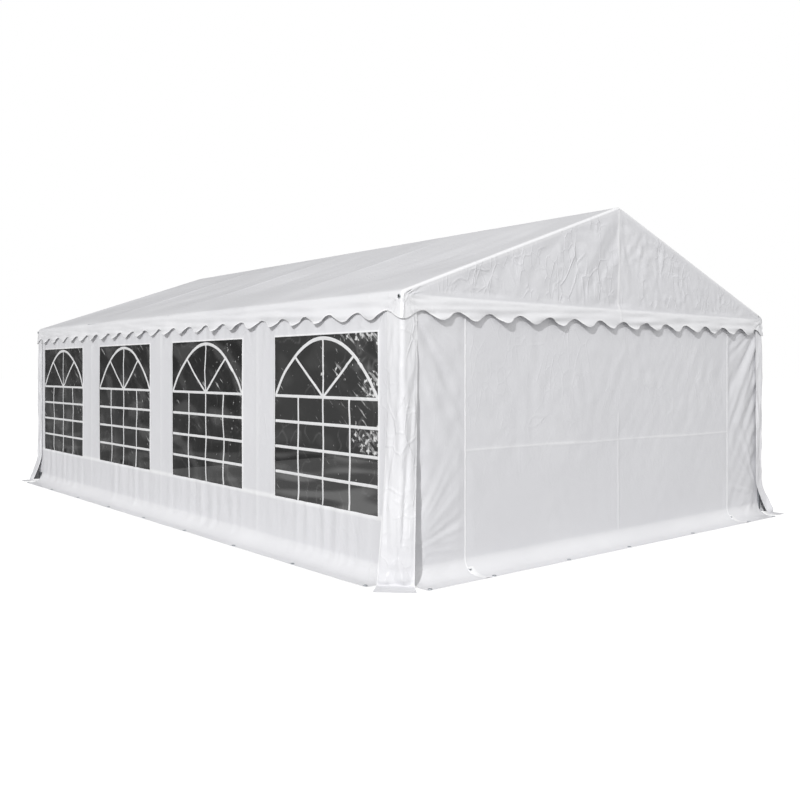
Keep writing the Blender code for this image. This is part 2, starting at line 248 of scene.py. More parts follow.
def fold_marks(tree, place, size, width):
    """Short straight folds, 0 to 1: the edges between random cells of one size, each edge of a width in cells,
    shown only where a slow noise is high."""
    slow = add_node(tree, "ShaderNodeTexNoise", {"Vector": place, "Scale": 0.45 / size, "Detail": 1.0})
    bent = add_node(tree, "ShaderNodeVectorMath", {0: slow.outputs["Color"], 1: (size,) * 3}, operation="MULTIPLY")
    bent = add_node(tree, "ShaderNodeVectorMath", {0: place, 1: bent.outputs[0]}, operation="ADD").outputs[0]
    cells = {"Vector": bent, "Scale": 1 / size}
    edge = add_node(tree, "ShaderNodeTexVoronoi", cells, feature="DISTANCE_TO_EDGE").outputs["Distance"]
    shown = remap(tree, slow.outputs["Fac"], 0.46, 0.58, 0.0, 1.0)
    return product(tree, remap(tree, edge, width, 0.0, 0.0, 1.0), shown)


def coated_cloth():
    """Polyester cloth coated with soft vinyl: a satin white. One layer over the dark inside looks greyer than a hem or
    a seam of two, and the tone also carries painted light on the ground flaps and painted shade on the corner strips.
    The threads and the small creases of packing show faintly."""
    made, tree, shader, place = new_material("coated_cloth", Specular_IOR_Level=0.5)
    # The tone: the share of doubled cloth, with painted light on the ground flaps and painted shade on the corner
    # strips.
    layers = add_node(tree, "ShaderNodeAttribute", attribute_name="tone").outputs["Fac"]
    clouds = add_node(tree, "ShaderNodeTexNoise", {"Vector": place, "Scale": 1.3, "Detail": 5.0}).outputs["Fac"]
    uneven = remap(tree, clouds, 0.3, 0.7, -0.10, 0.10)
    share = add_node(tree, "ShaderNodeMath", {0: layers, 1: uneven}, operation="ADD", use_clamp=True).outputs[0]
    tree.links.new(blend(tree, share, CLOTH_SINGLE, CLOTH_DOUBLE), shader.inputs["Base Color"])
    tree.links.new(remap(tree, clouds, 0.3, 0.7, 0.33, 0.46), shader.inputs["Roughness"])
    threads = add_node(tree, "ShaderNodeTexNoise", {"Vector": place, "Scale": 1 / THREAD, "Detail": 1.0})
    fine = add_node(
        tree, "ShaderNodeBump", {"Height": threads.outputs["Fac"], "Strength": 0.15, "Distance": 0.002}
    ).outputs["Normal"]
    crumple = add_node(tree, "ShaderNodeAttribute", attribute_name="crumple").outputs["Fac"]
    tall = add_node(tree, "ShaderNodeVectorMath", {0: place, 1: (1.0, 1.0, 0.6)}, operation="MULTIPLY").outputs[0]
    long_marks = product(tree, fold_marks(tree, tall, 0.17, 0.055), crumple)
    short_marks = product(tree, fold_marks(tree, tall, 0.08, 0.10), crumple, 0.7)
    marks = add_node(tree, "ShaderNodeMath", {0: long_marks, 1: short_marks}, operation="ADD").outputs[0]
    coarse = add_node(tree, "ShaderNodeBump", {"Height": marks, "Strength": 1.0, "Distance": 0.003, "Normal": fine})
    tree.links.new(coarse.outputs["Normal"], shader.inputs["Normal"])
    return made


def lobes(share, count):
    """Height of the valance's edge at a share, 0 to 1, of its length: a cosine, low at both ends."""
    middle, swing = (VALANCE_NOTCH + VALANCE_LOBE) / 2, (VALANCE_NOTCH - VALANCE_LOBE) / 2
    return middle - swing * np.cos(2 * np.pi * count * share)


def valance_sway(along, height, count, reach, belly, seed):
    """How far the valance stands out. It grows downwards to its reach at the lobes, drifts along the eave with
    long level folds, swells by the belly at mid-length, and is steady at both corners. Along is -1 to 1."""
    drop = np.clip((VALANCE_TOP - height) / (VALANCE_TOP - VALANCE_LOBE), 0, 1)
    free = smooth_step(0.0, 0.07, 1 - np.abs(along))
    curl = 0.15 * np.cos(np.pi * count * (along + 1)) + 0.5 * noise(count * along / 1.6, 0.5 * drop, seed)
    level_folds = 0.020 * noise(count * along / 3.7, 3.2 * drop + 0.14 * count * along, seed + 1)
    flare = reach * (CORNER_FLARE + free * (1 - CORNER_FLARE + curl - 0.2)) + belly * np.cos(np.pi * along / 2)
    return drop**1.2 * flare + free * drop**0.5 * level_folds


def corner_pull(along_edge, height, reach=0.16):
    """Small folds that fan out of a corner eyelet, by the angle round it, and die away within the reach. The
    first value is the distance in from the corner."""
    inwards, down = along_edge - 0.025, EYELET_Z - height
    far = np.hypot(inwards, down)
    return 0.012 * noise(4.6 * np.arctan2(down, inwards), 0.3, 5) * np.minimum(far / 0.05, 1) * bump(far, reach)


EYELET_Z = 2.085
cloth = coated_cloth()


def spaced(marks, step):
    """Positions that hold every mark, with even steps of about one size between them."""
    marks = sorted(marks)
    runs = [np.linspace(a, b, max(int(round((b - a) / step)), 1) + 1)[:-1] for a, b in zip(marks, marks[1:])]
    return np.concatenate([*runs, marks[-1:]])


def cover_columns():
    """Places along the eave: even between the corners, closer over each rafter and round the bend at each end."""
    edge = COVER_Y - EDGE_BEND
    tubes = [portal + step for portal in PORTAL_YS[1:-1] for step in (-0.045, -0.03, -0.015, 0, 0.015, 0.03, 0.045)]
    round_end = edge + EDGE_BEND * np.sin(np.linspace(0, np.pi / 2, 6))[1:]
    middle, corner = spaced([0.2 - edge, *tubes, edge - 0.2], 0.024), np.linspace(edge, edge - 0.2, 22)[:-1]
    return np.concatenate([-round_end[::-1], -corner, middle, corner[::-1], round_end])


def side_valance(side, y, height):
    """A point of a long valance. Near each corner it also moves outwards along the eave, and over the last of it
    it bends by 90 degrees towards the gable."""
    along = y / COVER_Y
    past = np.clip((np.abs(y) - COVER_Y + EDGE_BEND) / EDGE_BEND, 0, 1)
    sway = valance_sway(along, height, SIDE_LOBES, SIDE_FLARE, 0.0, 11 + side)
    sway = sway + corner_pull(COVER_Y - np.abs(y), height)
    inset = EDGE_BEND * (1 - np.sqrt(1 - past**2))
    beside = smooth_step(COVER_Y - 0.22, COVER_Y, np.abs(y)) * sway
    return np.stack(np.broadcast_arrays(side * (COVER_X + sway - inset), y + np.sign(y) * beside, height), -1)


def cover_half(side):
    """Rows of half a cover from the valance's edge to the ridge: up the valance, round the eave bend of 90
    degrees less the pitch, and up the slope. The slope's height is the straight pitch, rounded at the ridge by
    an exponential, less a sag of 4s(1 - s) between rafters, plus long soft folds."""
    y = cover_columns()
    past = np.clip((np.abs(y) - COVER_Y + EDGE_BEND) / EDGE_BEND, 0, 1)
    inset = EDGE_BEND * (1 - np.sqrt(1 - past**2))
    edge = lobes((y / COVER_Y + 1) / 2, SIDE_LOBES)
    hang = np.linspace(1, 0, 13)[:-1, None]
    hung = side_valance(side, y, EAVE_BEND_Z + (edge - EAVE_BEND_Z) * hang)
    turn = np.linspace(0, np.pi / 2 - PITCH, 9)[:, None]
    held = smooth_step(0, 0.2, COVER_Y - np.abs(y))
    turned = np.sin(np.pi * turn / (np.pi / 2 - PITCH))
    reach = EAVE_BEND - inset + 0.005 * held * turned * noise(y / 0.4, 1.5 * turn, 13 + side)
    rolled = [side * (EAVE_BEND_X + reach * np.cos(turn)), y, EAVE_BEND_Z + reach * np.sin(turn)]
    rolled = np.stack(np.broadcast_arrays(*rolled), -1)
    share = np.linspace(0, 1, 66)[1:, None]
    run = (EAVE_BEND_X + EAVE_BEND * np.sin(PITCH)) * (1 - share)
    bay = np.mod(y + PORTAL_YS[-1], BAY) / BAY
    inside = smooth_step(0, 0.12, COVER_Y - np.abs(y))
    over = np.sin(np.pi * np.clip(0.97 * share + 0.015, 0, 1))
    sag = SLOPE_SAG * 4 * bay * (1 - bay) * over**0.7
    slack = 0.25 + 3 * bay * (1 - bay)
    soft = 0.008 * noise(y / 0.6, 3.2 * share, 21 + side) + 0.006 * noise(y / 0.22 + 2 * share, 1.4 * share, 23 + side)
    fold = 0.006 * creases(y / 0.7, 2.2 * share, 25 + side) + 0.006 * store_folds(y / 0.55, 2.6 * share, 27 + side)
    over_tube = 0.005 * sum(bump(np.abs(y - portal) - 0.02, 0.016) for portal in PORTAL_YS)
    lift = over * inside * (slack * (soft + fold) + over_tube - sag) - inset
    drop = SLOPE * (run + RIDGE_BEND * np.exp(-run / RIDGE_BEND))
    slope = [side * (run + lift * np.sin(PITCH)), y, RIDGE_Z - drop + lift * np.cos(PITCH)]
    slope = np.stack(np.broadcast_arrays(*slope), -1)
    slope[-1, :, 0] = 0.0
    return np.concatenate([hung, rolled, slope])


left_half, right_half = cover_half(-1), cover_half(1)
cover_points = np.concatenate([left_half, right_half[-2::-1]])
from_rake = COVER_Y - np.abs(cover_points[..., 1])
wander = 0.03 * noise(cover_points[..., 1] / 0.5, 0.5 + np.sign(cover_points[..., 0]), 29)
cover_tone = 0.32 * smooth_step(EAVE_Z + 0.055, EAVE_Z - 0.03, cover_points[..., 2] + wander)
cover_tone = np.maximum(cover_tone, 0.6 * smooth_step(0.036, 0.026, from_rake))
cover_tone = np.maximum(cover_tone, 0.5 * smooth_step(0.03, 0.02, np.abs(cover_points[..., 0])))
on_valance = smooth_step(EAVE_Z, EAVE_Z - 0.08, cover_points[..., 2])
cover_crumple = 0.45 - 0.3 * on_valance + 0.85 * bump(from_rake, 0.2) * on_valance
roof_cover = new_piece("roof_cover", cover_points, cloth, cover_tone, crumple=cover_crumple)
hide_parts("roof_left", "roof_right")


# Gables: a triangle of the same cloth in each end with its own scalloped valance, sewn to the cover along the
# rake. A seam runs down the middle. The valance is sewn on at the gable rail, in a valley above its swell.
GABLE_X = COVER_X - EDGE_BEND
BAND_TOP = 2.103


def rake_height(x):
    """Height of the cover's end edge over a place across: its pitch, less the bend at the edge, rounded at the
    ridge and, past the slope, following the eave's bend."""
    x = np.minimum(np.abs(x), GABLE_X)
    slope = RIDGE_Z - SLOPE * (x + RIDGE_BEND * np.exp(-x / RIDGE_BEND)) - EDGE_BEND / np.cos(PITCH)
    bend = EAVE_BEND_Z + np.sqrt(np.maximum((EAVE_BEND - EDGE_BEND) ** 2 - np.maximum(x - EAVE_BEND_X, 0) ** 2, 0))
    return np.where(x > EAVE_BEND_X + (EAVE_BEND - EDGE_BEND) * np.sin(PITCH), bend, slope)


def gable_surface(end, x, height):
    """A point of a gable. It stands out by the valance's sway below the rail, and above it by the middle seam,
    the creases of packing and slow waves, all held at the rakes and at the valley over the valance."""
    along = x / GABLE_X
    seed = 41 + end
    sway = valance_sway(along, height, END_LOBES, END_FLARE, 0.008, 31 + end)
    sway = sway + corner_pull(COVER_X - np.abs(x), height)
    swell = 0.014 * smooth_step(BAND_TOP, BAND_TOP - 0.025, height) * smooth_step(0.04, 0.16, 1 - np.abs(along))
    below_rake = rake_height(x) - height
    open_part = smooth_step(0, 0.12, below_rake) * smooth_step(0.0, 0.05, height - BAND_TOP)
    strength = 0.5 + 0.5 * smooth_step(-0.3, 0.3, noise(x / 0.9, height / 0.6, seed + 5) + 0.25 * np.sign(x))
    slanted = 0.012 * noise((0.8 * np.abs(x) + 0.6 * height) / 0.16, (0.6 * np.abs(x) - 0.8 * height) / 0.7, seed + 8)
    crush = 0.006 * creases(x / 0.30 + 0.3 * height, height / 0.36, seed) * strength
    crush = crush + 0.0055 * store_folds(x / 0.11, height / 0.16, seed + 2) * strength
    soft = 0.006 * noise(x / 0.7, height / 0.5, seed + 3) + slanted * (0.4 + 0.6 * bump(x, 0.8))
    seam = 0.003 * bump(x, 0.01)
    out = sway + swell + open_part * (crush + soft - 0.006) + seam
    beside = smooth_step(1 - 0.22 / GABLE_X, 1, np.abs(along)) * sway
    return np.stack(np.broadcast_arrays(x + np.sign(x) * beside, end * (COVER_Y + out), height), -1)


def end_edge(end, x):
    """Height of a gable valance's edge. At the front its lobes are set a little to one side at mid-width."""
    shift = 0.006 * np.cos(np.pi * x / GABLE_X / 2) * (end < 0)
    return lobes((x / GABLE_X + 1) / 2 - shift, END_LOBES)


corner_xs = np.linspace(GABLE_X, GABLE_X - 0.2, 22)[:-1]
gable_xs = np.concatenate([-corner_xs, spaced([0.2 - GABLE_X, -0.012, 0.012, GABLE_X - 0.2], 0.013), corner_xs[::-1]])
for end_name, end in (("front", -1), ("rear", 1)):
    rake = rake_height(gable_xs)
    band = np.minimum(BAND_TOP, rake - 0.012)
    low, high = np.linspace(0, 1, 13)[:-1, None], np.linspace(0, 1, 76)[:, None]
    height = np.concatenate([end_edge(end, gable_xs) * (1 - low) + band * low, band + (rake - band) * high])
    tone = 0.4 * smooth_step(BAND_TOP + 0.004, BAND_TOP - 0.012, height)
    tone = np.maximum(tone, 0.25 * smooth_step(0.03, 0.02, rake - height))
    tone = np.maximum(tone, 0.7 * smooth_step(0.014, 0.008, np.abs(gable_xs)) * (height > BAND_TOP - 0.07))
    crumple = 0.15 + 0.85 * smooth_step(BAND_TOP, BAND_TOP + 0.06, height) + 0.5 * bump(GABLE_X - np.abs(gable_xs), 0.12)
    points = gable_surface(end, gable_xs, height)
    gable = new_piece(f"gable_{end_name}_cloth", points, cloth, tone, outwards=end < 0, crumple=np.minimum(crumple, 1))
    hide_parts(f"gable_{end_name}")


# Binding: a narrow white tape folded over the scalloped edge and sewn through, all the way round.
BINDING = 0.011
BINDING_THICK = 0.0014


def bound_edge(surface, place, edge):
    """A run of tape round an edge: up the front face, round the bottom and up the back, from points of the
    surface a tape's width above the edge and at it."""
    upper, lower = surface(place, edge + BINDING), surface(place, edge)
    tangent = np.gradient(lower, axis=0)
    outward = np.cross(tangent, upper - lower)
    outward *= BINDING_THICK / np.linalg.norm(outward, axis=-1, keepdims=True)
    under = lower - (upper - lower) * (BINDING_THICK / BINDING)
    sides = [upper + outward, lower + 1.3 * outward, under + 0.6 * outward, under - 0.6 * outward]
    return np.stack([*sides, lower - 1.3 * outward, upper - outward], axis=1)


binding_runs = []
for hand in (-1, 1):
    y = np.linspace(-COVER_Y, COVER_Y, 16 * SIDE_LOBES + 1)
    side_edge = lobes((y / COVER_Y + 1) / 2, SIDE_LOBES)
    binding_runs.append(bound_edge(lambda a, z, side=hand: side_valance(side, a, z), y, side_edge))
    x = np.linspace(-GABLE_X, GABLE_X, 18 * END_LOBES + 1)
    run = bound_edge(lambda a, z, end=hand: gable_surface(end, a, z), x, end_edge(hand, x))
    binding_runs.append(run)
binding = ribbon("valance_binding", binding_runs, cloth, 0.75)


# Long walls: white cloth sheets hung behind the valance, with four window openings that have a welded hem, and
# a flap that curves out at the foot and lies on the ground, where it is pegged or weighted down.
WALL_X = 2.541
WALL_REACH = 3.97
WALL_TOP = 2.065
FLARE = 0.13
FLAP = 0.215
FLAP_END = 3.846
WALL_LENGTH = WALL_TOP - FLARE + FLARE * np.pi / 2 + FLAP - FLARE
WINDOW_YS = (-3.0, -1.0, 1.0, 3.0)
WINDOW_HALF = 0.716
WINDOW_BOTTOM, WINDOW_TOP = 0.469, 1.836
WINDOW_HEM = 0.013
HEM_RAISE = 0.0015


def wall_section(down):
    """Distance out and height of a wall at a length down it from its top, with the outward direction there:
    straight down, round a quarter circle, and out along the ground."""
    straight = WALL_TOP - FLARE
    turn = np.clip((down - straight) / FLARE, 0, np.pi / 2)
    past = np.maximum(down - straight - FLARE * np.pi / 2, 0)
    out = FLARE * (1 - np.cos(turn)) + past
    height = WALL_TOP - np.minimum(down, straight) - FLARE * np.sin(turn)
    return out, height, np.cos(turn), np.sin(turn)


def hem_cover(y, height):
    """1 on the hem round a window opening and on the level weld that joins the openings, 0 elsewhere."""
    beside = np.min([np.abs(y - window) for window in WINDOW_YS], axis=0) - WINDOW_HALF
    over = np.maximum(height - WINDOW_TOP, WINDOW_BOTTOM - height)
    gap = np.maximum(beside, over)
    hem = (gap > -0.001) & (gap < WINDOW_HEM + 0.001)
    return np.maximum(hem, (np.abs(height - WINDOW_BOTTOM + 0.009) < 0.0095) & (np.abs(y) < WALL_REACH))


def wall_relief(side, y, height):
    """How far a long wall's cloth stands out of its plane: slow billows, upright folds that are deeper towards
    the foot, small creases, and a ridge over each post. It is held flat behind the valance."""
    seed = 50 + side
    bay = np.sin(np.pi * (y + PORTAL_YS[-1]) / BAY) ** 2
    billow = 0.012 * bay * noise(y / 1.1, height / 1.3, seed)
    low = smooth_step(0.75, 0.3, height)
    upright = (0.003 + 0.007 * low) * noise(y / 0.12, height / 1.4, seed + 2)
    narrow = (0.0008 + 0.0022 * low) * noise(y / 0.045, height / 0.9, seed + 6)
    broad = 0.004 * noise(y / 0.4 + 0.3 * height, height / 0.8, seed + 3)
    small = 0.003 * creases(y / 0.25, height / 0.45, seed + 4) + 0.003 * store_folds(y / 0.2, height / 0.3, seed + 5)
    posts = sum(bump(y - post, 0.02) for post in PORTAL_YS)
    hung = smooth_step(WALL_TOP, WALL_TOP - 0.22, height)
    pleats = 0.0045 * smooth_step(1.7, 1.88, height) * noise(y / 0.07, height / 0.9, seed + 9)
    return hung * bay**0.3 * (billow + upright + narrow + broad + small) + pleats + 0.003 * posts - 0.003


def wall_surface(side, y, down, proud=0.0):
    """A point of a long wall: the section's point, moved outwards by the relief, which fades along the flap. The
    flap's edge waves a little above the ground."""
    out, height, level, upright = wall_section(down)
    on_wall = 1 - smooth_step(WALL_TOP - 0.25, WALL_TOP + 0.12, down)
    lift = wall_relief(side, y, height) * on_wall + proud
    flap = smooth_step(WALL_TOP - FLARE, WALL_TOP + FLAP, down)
    wave = 0.004 * flap * (1 + noise(y / 0.33, down, 57 + side))
    x = WALL_X + out + lift * level
    return np.stack(np.broadcast_arrays(side * x, y, height + lift * upright + wave + 0.002), -1)


hem_marks = [WINDOW_HALF, WINDOW_HALF + WINDOW_HEM, WINDOW_HALF + WINDOW_HEM + 0.003]
wall_marks = [centre + hand * mark for centre in WINDOW_YS for mark in hem_marks for hand in (-1, 1)]
wall_ys = spaced([-WALL_REACH, -FLAP_END, FLAP_END, WALL_REACH, *wall_marks], 0.022)
height_marks = [
    WINDOW_TOP + WINDOW_HEM + 0.003,
    WINDOW_TOP + WINDOW_HEM,
    WINDOW_TOP,
    WINDOW_BOTTOM,
    WINDOW_BOTTOM - WINDOW_HEM,
    WINDOW_BOTTOM - WINDOW_HEM - 0.003,
    FLARE,
]
wall_downs = spaced([0, *(WALL_TOP - mark for mark in height_marks), WALL_LENGTH - 0.02, WALL_LENGTH], 0.022)
for side_name, side in (("left", -1), ("right", 1)):
    y, down = np.meshgrid(wall_ys, wall_downs)
    middle_y, middle_down = (y[1:, 1:] + y[:-1, :-1]) / 2, (down[1:, 1:] + down[:-1, :-1]) / 2
    in_window = np.any([np.abs(middle_y - window) < WINDOW_HALF for window in WINDOW_YS], axis=0)
    in_window &= (middle_down > WALL_TOP - WINDOW_TOP) & (middle_down < WALL_TOP - WINDOW_BOTTOM)
    past_flap = (np.abs(middle_y) > FLAP_END) & (middle_down > WALL_TOP - FLARE)
    height = wall_section(down)[1]
    hems = hem_cover(y, height) & (down < WALL_TOP - FLARE)
    tone = 0.3 * sum(bump(y - post, 0.015) for post in PORTAL_YS) + 0.7 * hems
    # Painted light: the curve at the foot and the flap on the ground are drawn lighter, for the light that the
    # upturned flap catches.
    tone = np.maximum(tone, 0.36 * smooth_step(FLARE + 0.01, FLARE - 0.03, height))
    wall = new_piece(
        f"wall_{side_name}_cloth",
        wall_surface(side, y, down, HEM_RAISE * hems),
        cloth,
        np.clip(tone, 0, 1),
        ~(in_window | past_flap),
        outwards=side < 0,
        crumple=0.35 + 0.65 * bump(WALL_REACH - np.abs(y), 0.3),
    )
    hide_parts(f"wall_{side_name}")


# Windows: clear soft film welded behind each opening, creased by storage, with white bars welded on it: an arch
# with a fan of three spokes over four rows of four panes.
# Painted film colours: the dark base is painted shade for the dim inside seen through. The pale colour marks scuffing,
# and also paints the light of the floor inside and glints on the creases.
FILM_PAINTED_INSIDE_SHADE, FILM_SCUFF_AND_PAINTED_LIGHT = "#202020", "#F0F0F0"
BAR_WIDTH = 0.024
ARCH_WIDTH = 0.029
SPRING_LINE = WINDOW_TOP - 0.50
ARCH_RISE = 0.475
PANE_ROW = (SPRING_LINE - WINDOW_BOTTOM) / 4
CRUSHED = (1.0, 0.4, 0.25, 0.3)  # how crushed each window's film is, from the front
SLANT = 0.67  # angle in radians by which the folds of packing slant across the films


def clear_film():
    """Soft clear vinyl film, calendered smooth and glossy. Its colour is painted: a dark base of painted shade for the
    dim inside showing through, grey where it is scuffed, painted light where the floor inside shows, and painted
    glints where a crease catches the light."""
    made, tree, shader, place = new_material("clear_film", IOR=1.54, Alpha=0.94, Specular_IOR_Level=0.1)
    scuffs_and_painted_light = add_node(tree, "ShaderNodeAttribute", attribute_name="tone").outputs["Fac"]
    crumple = add_node(tree, "ShaderNodeAttribute", attribute_name="crumple").outputs["Fac"]
    turned = add_node(tree, "ShaderNodeMapping", {"Vector": place, "Rotation": (-SLANT, 0, 0)}).outputs[0]
    drawn = add_node(tree, "ShaderNodeVectorMath", {0: turned, 1: (1, 0.12, 1)}, operation="MULTIPLY").outputs[0]
    lines = add_node(tree, "ShaderNodeTexNoise", {"Vector": drawn, "Scale": 30.0, "Detail": 3.0}).outputs["Fac"]
    broken = add_node(tree, "ShaderNodeTexNoise", {"Vector": place, "Scale": 26.0, "Detail": 4.0}).outputs["Fac"]
    easier = product(tree, crumple, 0.19)
    lines, shards = (
        add_node(tree, "ShaderNodeMath", {0: noisy, 1: easier}, operation="ADD").outputs[0]
        for noisy in (lines, broken)
    )
    # Thin lines and specks where the film is crushed: painted glints of the creases, also used as bump height.
    glint_streaks = remap(tree, lines, 0.69, 0.76, 0.0, 1.0)
    glint_specks = remap(tree, shards, 0.71, 0.79, 0.0, 1.0)
    glint_crest = add_node(tree, "ShaderNodeMath", {0: glint_streaks, 1: glint_specks}, operation="MAXIMUM").outputs[0]
    glint_crest = product(tree, glint_crest, remap(tree, broken, 0.35, 0.65, 0.12, 0.75))
    # The painted glints are added to the scuffing and painted light that each point carries.
    grey = add_node(tree, "ShaderNodeMath", {0: glint_crest, 1: scuffs_and_painted_light}, operation="ADD", use_clamp=True).outputs[0]
    tree.links.new(blend(tree, grey, FILM_PAINTED_INSIDE_SHADE, FILM_SCUFF_AND_PAINTED_LIGHT), shader.inputs["Base Color"])
    ripple = add_node(tree, "ShaderNodeTexNoise", {"Vector": place, "Scale": 9.0, "Detail": 3.0}).outputs["Fac"]
    tree.links.new(remap(tree, ripple, 0.3, 0.7, 0.08, 0.18), shader.inputs["Roughness"])
    height = add_node(tree, "ShaderNodeMath", {0: glint_crest, 1: ripple}, operation="ADD").outputs[0]
    relief = add_node(tree, "ShaderNodeBump", {"Height": height, "Strength": 0.3, "Distance": 0.008})
    tree.links.new(relief.outputs["Normal"], shader.inputs["Normal"])
    return made


def window_bar():
    """White vinyl bar, welded on: satin, with a faint unevenness from the weld."""
    made, tree, shader, place = new_material("window_bar", Roughness=0.4)
    uneven = add_node(tree, "ShaderNodeTexNoise", {"Vector": place, "Scale": 30.0, "Detail": 3.0}).outputs["Fac"]
    tree.links.new(blend(tree, uneven, "#D2D2D3", "#E4E4E5"), shader.inputs["Base Color"])
    relief = add_node(tree, "ShaderNodeBump", {"Height": uneven, "Strength": 0.15, "Distance": 0.003})
    tree.links.new(relief.outputs["Normal"], shader.inputs["Normal"])
    return made


def winding(u, v, seed, width):
    """Thin winding lines, 0 to 1, where noise passes through zero, each showing only in places."""
    shown = smooth_step(-0.1, 0.4, noise(0.7 * u, 0.7 * v, seed + 31))
    return shown * smooth_step(width, 0, np.abs(noise(u, v, seed)))


def film_surface(side, window, across, height, proud=0.0):
    """A point of a window's film, its scuffing and painted light, and how crushed it is. It follows the wall at its
    place, and inside the opening stands off it by slack waves and by sharp creases, which slant down from the top to
    one side. The painted light is long soft bands low down for the lit floor inside and glints along the creases'
    ridges; with it go cloudy scuff marks."""
    y = WINDOW_YS[window] + across
    seed = 100 + 10 * window + 3 * side
    edge = smooth_step(0, 0.07, WINDOW_HALF - np.abs(across))
    edge = edge * smooth_step(0, 0.07, WINDOW_TOP - height) * smooth_step(0, 0.07, height - WINDOW_BOTTOM)
    slack = 0.008 * noise(across / 0.8, height / 0.28, seed) + 0.003 * noise(across / 0.3, height / 0.6, seed + 1)
    steep = 0.79 * height - 0.62 * across
    along = -0.79 * across - 0.62 * height
    side_strip = smooth_step(-0.25, -0.5, across) * smooth_step(0.72, 0.95, height)
    upper = smooth_step(0.35, -0.45, across) * smooth_step(1.1, 1.6, height)
    slanting = winding(steep / 0.10, along / 0.5, seed + 2, 0.22)
    crumpled = winding(across / 0.10, height / 0.09, seed + 4, 0.3)
    strewn = winding(across / 0.22, height / 0.2, seed + 6, 0.06)
    crush = CRUSHED[window] * (0.010 * slanting * upper + 0.006 * crumpled * side_strip)
    wall = wall_relief(side, y, height) * (1 - 0.7 * edge)
    x = WALL_X - 0.0025 + wall + edge * (slack + crush - 0.003) + proud
    low = smooth_step(1.0, 0.8, height)
    lean = height + 0.08 * across
    # Painted light: long soft bands low down stand for the lit floor inside seen through.
    painted_floor_light = smooth_step(0.0, 0.5, noise(across / 0.8 + 3, lean / 0.085, seed + 8))
    clouds = smooth_step(0.05, 0.5, noise(across / 0.45 + height / 0.5, (height - 0.5 * across) / 0.22, seed + 9))
    # Painted glints along the creases' ridges.
    crease_glints = 0.08 * slanting * upper**2 + 0.06 * crumpled * side_strip
    base, soft, cloudy = (0.028, 0.09, 0.015) if window == 0 else (0.004, 0.04, 0.045)
    scuffs_and_floor_light = base * (1 - low) + soft * low * painted_floor_light + cloudy * clouds
    scuffs_and_painted_light = scuffs_and_floor_light + CRUSHED[window] * crease_glints + 0.05 * strewn
    shown = smooth_step(-0.25, 0.35, noise(across / 0.3, height / 0.22, seed + 12))
    crumple = CRUSHED[window] * np.maximum(side_strip, upper) * (0.2 + 0.8 * shown)
    return np.stack(np.broadcast_arrays(side * x, y, height), -1), np.clip(scuffs_and_painted_light, 0, 1), crumple


def bar_runs(side, window):
    """The bars of one window as strips on its film. Each follows a line in the film's plane: level, upright, a
    spoke, or the arch z = rise * (1 - (across / half)^2), and is crowned across its width."""
    lines = []
    reach = WINDOW_HALF - 0.004
    level = np.linspace(-reach, reach, 72)
    for row in range(4):
        lines.append((level, np.full_like(level, SPRING_LINE - row * PANE_ROW), BAR_WIDTH))
    for column, top in ((-0.5, 0.0), (0.0, ARCH_RISE), (0.5, 0.0)):
        upright = np.linspace(WINDOW_BOTTOM + 0.004, SPRING_LINE + top, 72)
        lines.append((np.full_like(upright, column * WINDOW_HALF), upright, BAR_WIDTH * 0.85))
    for hand in (-1, 1):
        share = np.linspace(0, 1, 40)
        lines.append((hand * 0.405 * share, SPRING_LINE + 0.33 * share, BAR_WIDTH * 0.95))
    arch = np.linspace(-reach, reach, 96)
    lines.append((arch, SPRING_LINE + ARCH_RISE * (1 - (arch / reach) ** 2) ** 0.92, ARCH_WIDTH))
    across_share = np.linspace(-1, 1, 5)
    crown = 0.0008 + 0.0014 * (1 - across_share**2)
    runs = []
    for a, z, width in lines:
        tangent = np.stack([np.gradient(a), np.gradient(z)])
        tangent /= np.linalg.norm(tangent, axis=0)
        sideways = across_share * width / 2
        a_grid = np.clip(a[:, None] - tangent[1][:, None] * sideways, -WINDOW_HALF, WINDOW_HALF)
        z_grid = z[:, None] + tangent[0][:, None] * sideways
        bent = 0.0025 * noise(2 * a_grid + window, 5 * z_grid, 7 * window + side)
        runs.append(film_surface(side, window, a_grid + bent, z_grid, crown)[0])
    return runs


film, bar = clear_film(), window_bar()
film_across, film_heights = np.meshgrid(
    np.linspace(-WINDOW_HALF - 0.012, WINDOW_HALF + 0.012, 114),
    np.linspace(WINDOW_TOP + 0.012, WINDOW_BOTTOM - 0.012, 110),
)
for side_name, side in (("left", -1), ("right", 1)):
    for window in range(len(WINDOW_YS)):
        number = window + 1
        points, scuffs_and_painted_light, crumple = film_surface(side, window, film_across, film_heights)
        pane = new_piece(
            f"window_{side_name}_{number}_film", points, film, scuffs_and_painted_light, outwards=side < 0, crumple=crumple
        )
        bars = ribbon(f"window_{side_name}_{number}_bars", bar_runs(side, window), bar, outwards=side > 0)
        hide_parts(f"window_{side_name}_{number}")


# End walls: a cloth wall in each end, in three parts joined by two zips. The middle part is the door, which
# rolls up. Folds of tension run from the corners into the side parts, and a level weld crosses the door.
END_Y = 3.996
END_REACH = 2.475
DOOR_LEFT, DOOR_RIGHT = -1.912, 1.842
DOOR_TOP = 1.965
DOOR_WELD = 0.93
WELD_SLOPE = 0.008


def fan(x, height, x0, z0, count, reach, seed):
    """Tension folds that spread from a point: noise of the angle round it, and weaker as they leave it."""
    dx, dz = x - x0, height - z0
    far = np.hypot(dx, dz)
    return noise(count * np.arctan2(dz, dx), 0.8 * far, seed) * np.minimum(far / 0.12, 1) * bump(far, reach)


def in_doorway(x):
    """True between the two zips."""
    return (x > DOOR_LEFT) & (x < DOOR_RIGHT)


def end_seams(x, height):
    """1 on the seams of an end wall: down the middle and level across the door."""
    middle = smooth_step(0.009, 0.005, np.abs(x)) * (height < 1.17) * (height > 0.12)
    level = smooth_step(0.009, 0.005, np.abs(height - DOOR_WELD + WELD_SLOPE * x)) * in_doorway(x)
    return np.maximum(0.6 * middle, level)


